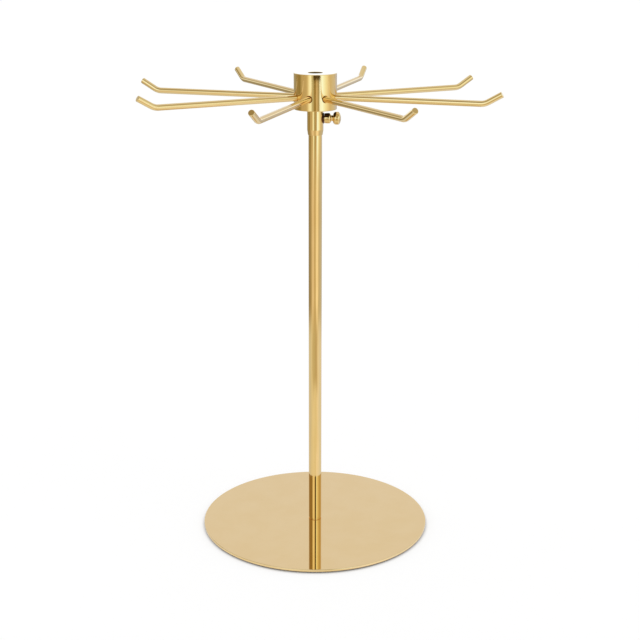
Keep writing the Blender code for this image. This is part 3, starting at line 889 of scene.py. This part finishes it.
def floor():
    """White paper with painted light: outside the plate it glows, which fills in the plate's soft
    contact shadow; the glow fades out over the plate's edge, so the real shade under the plate reads as
    a crisp dark line.
    """
    mesh = bpy.data.meshes.new("studio_floor")
    shape = bmesh.new()
    bmesh.ops.create_circle(shape, cap_ends=True, segments=128, radius=FLOOR_RADIUS)
    shape.to_mesh(mesh)
    shape.free()
    ground = bpy.data.objects.new("studio_floor", mesh)
    bpy.context.scene.collection.objects.link(ground)
    tree = Tree("studio_white_painted_light")
    paint = tree.mix(tree.noise(3.0, 2.0), (0.47, 0.47, 0.47), (0.455, 0.455, 0.455))
    tree.into(colour=paint, rough=0.9, specular=0.0)
    distance = tree.node("ShaderNodeVectorMath", operation="LENGTH")
    tree.join(tree.space, distance.inputs[0])
    # The glow is painted light over the plate's shadow. It fades to nothing across the plate's edge.
    edge = PLATE_RADIUS
    glow = tree.remap(distance.outputs["Value"], edge - 3 * MM, edge + 3 * MM, 0.0, FLOOR_PAINTED_LIGHT)
    tree.shader.inputs["Emission Color"].default_value = (1.0, 1.0, 1.0, 1.0)
    tree.join(glow, tree.shader.inputs["Emission Strength"])
    mesh.materials.append(tree.material)


# The studio round the rack, as the polished metal sees it. Each entry is an azimuth in degrees,
# counted from the camera towards +X, and the brightness there in red, green and blue.
TABLE_FAR = [
    (-180, 0.45, 0.43, 0.34), (-137, 0.44, 0.44, 0.36), (-105, 0.40, 0.34, 0.19),
    (-92, 0.36, 0.31, 0.15), (-84, 0.46, 0.41, 0.25), (-75, 0.64, 0.58, 0.43),
    (-50, 0.67, 0.61, 0.45), (-42, 0.82, 0.79, 0.64), (-34, 1.12, 1.24, 1.26),
    (-27, 1.24, 1.50, 1.75), (-21, 1.06, 1.26, 1.42), (-16, 0.66, 0.72, 0.62),
    (-9, 0.60, 0.60, 0.46), (-5, 0.42, 0.34, 0.15), (1, 0.40, 0.31, 0.12),
    (5, 0.76, 0.68, 0.50), (10, 0.78, 0.70, 0.55), (16, 0.46, 0.42, 0.26),
    (20, 0.66, 0.68, 0.62), (25, 1.20, 1.55, 2.20), (38, 1.24, 1.70, 2.45),
    (49, 1.18, 1.48, 1.74), (61, 1.11, 1.24, 1.22), (75, 0.96, 0.96, 0.90),
    (86, 0.80, 0.78, 0.68), (110, 0.79, 0.82, 0.86), (134, 0.70, 0.78, 1.05),
    (180, 0.45, 0.43, 0.34),
]
TABLE_NEAR = [
    (-180, 0.55, 0.53, 0.46), (-123, 0.36, 0.35, 0.30), (-95, 0.43, 0.39, 0.29),
    (-73, 0.58, 0.53, 0.40), (-53, 0.86, 0.80, 0.72), (-35, 1.00, 0.96, 0.92),
    (-18, 0.78, 0.70, 0.55), (-2, 0.66, 0.59, 0.42), (15, 1.00, 0.98, 0.88),
    (32, 1.24, 1.25, 1.28), (50, 0.96, 0.95, 0.88), (69, 0.70, 0.69, 0.66),
    (100, 0.68, 0.74, 0.88), (180, 0.55, 0.53, 0.46),
]
TABLE_CLOSE = [
    (-180, 0.84, 0.86, 0.88), (-105, 0.78, 0.86, 0.98), (-60, 0.88, 0.92, 0.93),
    (-42, 0.76, 0.73, 0.62), (-15, 0.70, 0.68, 0.54), (9, 0.65, 0.60, 0.46),
    (28, 0.72, 0.67, 0.56), (47, 0.95, 0.96, 0.98), (67, 0.98, 1.02, 1.15),
    (95, 0.88, 0.96, 1.20), (180, 0.84, 0.86, 0.88),
]
TABLE_FOOT = [
    (-180, 0.84, 0.86, 0.88), (-95, 0.78, 0.84, 0.98), (-60, 0.90, 0.93, 0.93),
    (-28, 0.97, 0.98, 0.95), (9, 0.92, 0.92, 0.83), (28, 0.98, 0.98, 0.96),
    (47, 1.07, 1.09, 1.18), (67, 0.98, 1.04, 1.20), (95, 0.86, 0.96, 1.22),
    (180, 0.84, 0.86, 0.88),
]
WALLS = [
    (-180, 0.88, 0.90, 0.95), (-155, 0.86, 0.88, 0.92), (-125, 0.46, 0.44, 0.36),
    (-103, 0.32, 0.27, 0.14), (-95, 0.50, 0.45, 0.31), (-85, 0.50, 0.45, 0.31),
    (-76, 0.32, 0.28, 0.15), (-65, 0.40, 0.37, 0.21), (-48, 0.72, 0.76, 0.72),
    (-34, 1.22, 1.50, 1.85), (-20, 1.32, 1.62, 2.10), (-10, 0.95, 1.10, 1.15),
    (-3, 0.66, 0.66, 0.52), (4, 0.06, 0.05, 0.02), (14, 0.06, 0.05, 0.02),
    (21, 0.95, 1.25, 1.55),
    (27, 1.36, 1.90, 2.50), (36, 1.36, 1.90, 2.50), (43, 1.12, 1.28, 1.30),
    (62, 1.02, 1.14, 1.12), (78, 0.76, 0.82, 0.72), (100, 0.72, 0.78, 0.70), (125, 0.78, 0.82, 0.84),
    (155, 0.86, 0.88, 0.92), (180, 0.88, 0.90, 0.95),
]
ROOF_MIDDLE = (0.80, 0.87, 0.98)
HORIZON = (1.15, 1.32, 1.60)
ROOF = [
    (-180, 0.88, 0.94, 1.02), (-120, 0.86, 0.90, 0.96), (-85, 0.50, 0.46, 0.34),
    (-30, 0.38, 0.33, 0.22), (0, 0.62, 0.60, 0.50), (35, 0.46, 0.42, 0.30),
    (80, 0.54, 0.51, 0.42), (115, 0.86, 0.90, 0.96), (180, 0.88, 0.94, 1.02),
]
BRIGHTEST = 3.0
ROOM_RADIUS = 7.0
ROOM_HEIGHT = 7.5
TABLE_START = 0.115                 # just clear of the base plate
FLOOR_RADIUS = 18.0
# How strongly the floor outside the plate glows: painted light that fills in the plate's contact shadow.
FLOOR_PAINTED_LIGHT = 0.49
WORLD_LIGHT = 1.12
# Where one part of the table gives way to the next, as distances from the axis.
FOOT_TO_CLOSE = (0.34, 0.46)
CLOSE_TO_NEAR = (0.58, 0.80)
NEAR_TO_FAR = (1.5, 2.6)
# The same for the walls, as heights, and for the roof, as distances from the axis.
TABLE_TO_HORIZON = (0.0, 1.2)
HORIZON_TO_WALL = (1.5, 2.3)
WALL_TO_ROOF = (4.6, 7.0)
MIDDLE_TO_ROOF = (0.5, 3.5)
FLAG_INNER, FLAG_OUTER = 3.85, 5.6
FLAG_START, FLAG_END = -10.0, 27.0
FLAG_FADE = (3.8, 5.6)
SWAY_SIZE, SWAY_SCALE = 0.30, 6.0
CAMERA_PLACE = (-0.0008, -1.1965, 0.5873)
CAMERA_LENS = 72.16
CAMERA_PITCH, CAMERA_YAW, CAMERA_ROLL = radians(17.284), radians(0.265), radians(0.105)


class Panels:
    """An emission material whose light depends on the place round the rack."""

    def __init__(self, name):
        self.material, self.glow = emitter(name, BRIGHTEST)
        self.tree = self.material.node_tree
        self.place = self.tree.nodes.new("ShaderNodeTexCoord").outputs["Object"]

    def ramp(self, panels):
        """The brightness by azimuth; the objects are turned so that azimuth 0 faces the camera."""
        sweep = self.tree.nodes.new("ShaderNodeTexGradient")
        sweep.gradient_type = "RADIAL"
        self.tree.links.new(self.place, sweep.inputs["Vector"])
        ramp = self.tree.nodes.new("ShaderNodeValToRGB")
        ramp.color_ramp.interpolation = "EASE"
        stops = ramp.color_ramp.elements
        stops.remove(stops[-1])
        for index, (azimuth, *light) in enumerate(panels):
            stop = stops[0] if index == 0 else stops.new(azimuth / 360 + 0.5)
            stop.position = azimuth / 360 + 0.5
            stop.color = (*[value / BRIGHTEST for value in light], 1.0)
        self.tree.links.new(sweep.outputs["Fac"], ramp.inputs["Fac"])
        return ramp.outputs["Color"]

    def sway(self, size, scale):
        """Bends the panels' edges a little, as soft cloth and paper would."""
        noise = self.tree.nodes.new("ShaderNodeTexNoise")
        noise.inputs["Scale"].default_value = scale
        noise.inputs["Detail"].default_value = 1.0
        self.tree.links.new(self.place, noise.inputs["Vector"])
        centred = self.tree.nodes.new("ShaderNodeVectorMath")
        centred.operation = "SUBTRACT"
        centred.inputs[1].default_value = (0.5, 0.5, 0.5)
        self.tree.links.new(noise.outputs["Color"], centred.inputs[0])
        shift = self.tree.nodes.new("ShaderNodeVectorMath")
        shift.operation = "MULTIPLY_ADD"
        shift.inputs[1].default_value = (size, size, 0.0)
        self.tree.links.new(centred.outputs["Vector"], shift.inputs[0])
        self.tree.links.new(self.place, shift.inputs[2])
        self.place = shift.outputs["Vector"]

    def share(self, kind, start, end):
        """0 to 1 as the height, or the distance from the axis, goes from start to end."""
        if kind == "height":
            source = self.tree.nodes.new("ShaderNodeSeparateXYZ")
            self.tree.links.new(self.place, source.inputs[0])
            value = source.outputs["Z"]
        else:
            source = self.tree.nodes.new("ShaderNodeVectorMath")
            source.operation = "LENGTH"
            self.tree.links.new(self.place, source.inputs[0])
            value = source.outputs["Value"]
        made = self.tree.nodes.new("ShaderNodeMapRange")
        made.interpolation_type = "SMOOTHSTEP"
        made.inputs["From Min"].default_value = start
        made.inputs["From Max"].default_value = end
        self.tree.links.new(value, made.inputs["Value"])
        return made.outputs["Result"]

    def mix(self, share, first, second):
        made = self.tree.nodes.new("ShaderNodeMix")
        made.data_type = "RGBA"
        self.tree.links.new(share, made.inputs["Factor"])
        for key, value in (("A", first), ("B", second)):
            if isinstance(value, tuple):
                made.inputs[key].default_value = (*[part / BRIGHTEST for part in value], 1.0)
            else:
                self.tree.links.new(value, made.inputs[key])
        return made.outputs["Result"]

    def show(self, colour):
        self.tree.links.new(colour, self.glow.inputs["Color"])
        return self.material


def reflected_only(name, shape, material):
    """A piece of the studio that only the polished metal sees."""
    mesh = bpy.data.meshes.new(name)
    shape.to_mesh(mesh)
    shape.free()
    piece = bpy.data.objects.new(name, mesh)
    bpy.context.scene.collection.objects.link(piece)
    piece.rotation_euler.z = -pi / 2
    for kind in ("camera", "diffuse", "transmission", "volume_scatter", "shadow"):
        setattr(piece, "visible_" + kind, False)
    mesh.materials.append(material)
    return piece


def ring_sheet(inner, outer, start=-180.0, end=180.0, steps=96):
    """A flat ring, or a part of one between two azimuths in the studio's own turned axes."""
    shape = bmesh.new()
    rows = []
    for step in range(steps + 1):
        angle = radians(start + (end - start) * step / steps)
        rows.append([shape.verts.new((r * cos(angle), r * sin(angle), 0)) for r in (inner, outer)])
    for row, after in zip(rows, rows[1:]):
        shape.faces.new((row[0], row[1], after[1], after[0]))
    return shape


def studio():
    """A table, walls and a roof of soft panels, and one black flag."""
    table = Panels("studio_table_panels")
    table.sway(SWAY_SIZE, SWAY_SCALE)
    light = table.mix(table.share("distance", *FOOT_TO_CLOSE), table.ramp(TABLE_FOOT),
                      table.ramp(TABLE_CLOSE))
    light = table.mix(table.share("distance", *CLOSE_TO_NEAR), light, table.ramp(TABLE_NEAR))
    light = table.mix(table.share("distance", *NEAR_TO_FAR), light, table.ramp(TABLE_FAR))
    sheet = reflected_only("studio_table", ring_sheet(TABLE_START, ROOM_RADIUS), table.show(light))
    sheet.location.z = 0.5 * MM

    walls = Panels("studio_wall_panels")
    low = walls.mix(walls.share("height", *TABLE_TO_HORIZON), walls.ramp(TABLE_FAR), HORIZON)
    light = walls.mix(walls.share("height", *HORIZON_TO_WALL), low, walls.ramp(WALLS))
    light = walls.mix(walls.share("height", *WALL_TO_ROOF), light, walls.ramp(ROOF))
    shape = bmesh.new()
    bmesh.ops.create_cone(shape, cap_ends=False, segments=180, radius1=ROOM_RADIUS,
                          radius2=ROOM_RADIUS, depth=ROOM_HEIGHT)
    bmesh.ops.translate(shape, verts=shape.verts, vec=(0, 0, ROOM_HEIGHT / 2))
    reflected_only("studio_walls", shape, walls.show(light))

    roof = Panels("studio_roof_panels")
    light = roof.mix(roof.share("distance", *MIDDLE_TO_ROOF), ROOF_MIDDLE, roof.ramp(ROOF))
    top = reflected_only("studio_roof", ring_sheet(0.01, ROOM_RADIUS), roof.show(light))
    top.location.z = ROOM_HEIGHT

    flag = Panels("studio_flag_black")
    dark = flag.mix(flag.share("distance", *FLAG_FADE), (0.06, 0.04, 0.01), (0.03, 0.02, 0.01))
    card = reflected_only("studio_flag",
                          ring_sheet(FLAG_INNER, FLAG_OUTER, FLAG_START, FLAG_END, 24),
                          flag.show(dark))
    card.location.z = 1.0 * MM


def world_light():
    """Even white light from all round."""
    world = bpy.data.worlds.new("studio")
    world.use_nodes = True
    world.node_tree.nodes["Background"].inputs["Color"].default_value = (1.0, 1.0, 1.0, 1.0)
    world.node_tree.nodes["Background"].inputs["Strength"].default_value = WORLD_LIGHT
    bpy.context.scene.world = world
    bpy.context.scene.view_settings.view_transform = "Standard"


def camera():
    data = bpy.data.cameras.new("camera")
    data.sensor_width = 36.0
    data.lens = CAMERA_LENS
    data.clip_end = 60.0
    eye = bpy.data.objects.new("camera", data)
    turn = Matrix.Rotation(-CAMERA_YAW, 4, "Z") @ Matrix.Rotation(pi / 2 - CAMERA_PITCH, 4, "X")
    roll = Matrix.Rotation(CAMERA_ROLL, 4, "Z")
    eye.matrix_world = Matrix.Translation(CAMERA_PLACE) @ turn @ roll
    bpy.context.scene.collection.objects.link(eye)
    bpy.context.scene.camera = eye


floor()
studio()
world_light()
camera()
